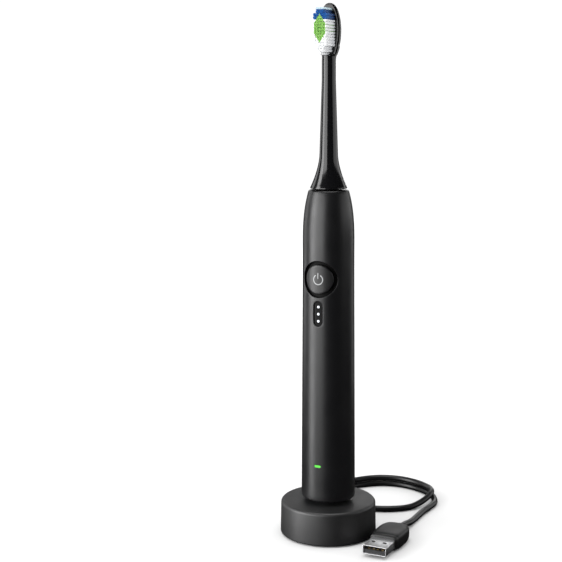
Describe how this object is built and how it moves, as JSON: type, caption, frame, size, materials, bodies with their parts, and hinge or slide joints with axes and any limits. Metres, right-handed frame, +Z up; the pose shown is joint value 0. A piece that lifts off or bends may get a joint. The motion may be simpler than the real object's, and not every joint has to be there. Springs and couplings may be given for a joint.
{
  "type": "electric toothbrush on charger",
  "caption": "Sonic toothbrush with pull-off brush head and push button, standing on a round induction charger with a corded USB-A plug.",
  "frame": {"origin": "centre of the charger's foot on the shelf", "axes": "+Z up along the handset, -Y the way the bristles and the button face"},
  "size_m": [0.067, 0.1083, 0.2635],
  "materials": {
    "charger_black": "satin moulded ABS, black",
    "handset_black": "satin soft-touch black",
    "cap_black": "matt moulded black",
    "button_black": "fine satin black",
    "symbol_grey": "printed light grey",
    "stem_white": "moulded acetal",
    "brush_black": "polished black",
    "soft_rubber": "matt silicone rubber",
    "cord_black": "satin PVC jacket",
    "plug_black": "fine-textured overmould",
    "nickel": "bright nickel plate",
    "steel": "ground steel",
    "core_iron": "laminated iron",
    "magnet": "nickel-plated magnet",
    "bronze": "sintered bronze",
    "copper_wire": "enamelled copper winding",
    "gold_contact": "gold flash",
    "plug_tongue": "grey moulded insulator",
    "ferrite": "sintered ferrite",
    "natural_nylon": "natural glass-filled nylon",
    "battery_sleeve": "shrink sleeve",
    "foam_pad": "closed-cell foam",
    "circuit_board": "green solder mask",
    "chip_black": "moulded epoxy",
    "led_white": "clear epoxy over white",
    "smoked_window": "smoked polycarbonate",
    "dot_white": "lit white light pipe",
    "charge_green": "lit green lens",
    "bristle_white": "nylon filament, white",
    "bristle_green": "nylon filament, green",
    "bristle_blue": "nylon filament, blue"
  },
  "bodies": {
    "charger": {"charger_housing": "charger_black", "base_cover": "charger_black", "cover_screws": "steel", "foot_ring": "soft_rubber", "charger_board": "circuit_board", "ferrite_core": "ferrite", "primary_coil": "copper_wire", "strain_relief": "cord_black", "usb_cord": "cord_black", "plug_body": "plug_black", "plug_shell": "nickel", "plug_tongue": "plug_tongue", "plug_contacts": "gold_contact"},
    "handset": {"handset_housing": "handset_black", "end_cap": "cap_black", "cap_seal": "soft_rubber", "coil_bobbin": "natural_nylon", "receiving_coil": "copper_wire", "chassis": "natural_nylon", "battery_cell": "battery_sleeve", "battery_tabs": "nickel", "battery_pad": "foam_pad", "main_board": "circuit_board", "board_chips": "chip_black", "board_screws": "steel", "switch_body": "chip_black", "indicator_leds": "led_white", "mode_window": "smoked_window", "mode_dots": "dot_white", "charge_lens": "charge_green", "button_seal": "soft_rubber", "stator_core": "core_iron", "drive_coil": "copper_wire", "lower_bearing": "bronze", "upper_bearing": "bronze", "shaft_seal": "soft_rubber"},
    "drive": {"drive_shaft": "steel", "rotor": "core_iron", "rotor_magnets": "magnet", "return_spring": "steel"},
    "button": {"power_button": "button_black", "power_symbol": "symbol_grey", "switch_stem": "stem_white"},
    "brush": {"brush_shell": "brush_black", "shaft_socket": "cap_black", "socket_clip": "steel", "white_bristles": "bristle_white", "green_bristles": "bristle_green", "blue_bristles": "bristle_blue"}
  },
  "joints": [
    {"name": "handset_lift", "type": "slide", "parent": "charger", "child": "handset", "axis": [0, 0, 1], "range_m": [0, 0.04]},
    {"name": "shaft_swing", "type": "hinge", "parent": "handset", "child": "drive", "pos_m": [0, 0, 0.15], "axis": [0, 0, 1], "range_deg": [-7, 7], "stiffness_Nm_per_rad": 0.5},
    {"name": "brush_pull_off", "type": "slide", "parent": "drive", "child": "brush", "axis": [0, 0, 1], "range_m": [0, 0.035]},
    {"name": "button_press", "type": "slide", "parent": "handset", "child": "button", "axis": [0, 1, 0], "range_m": [0, 0.0005], "stiffness_N_per_m": 4000}
  ]
}
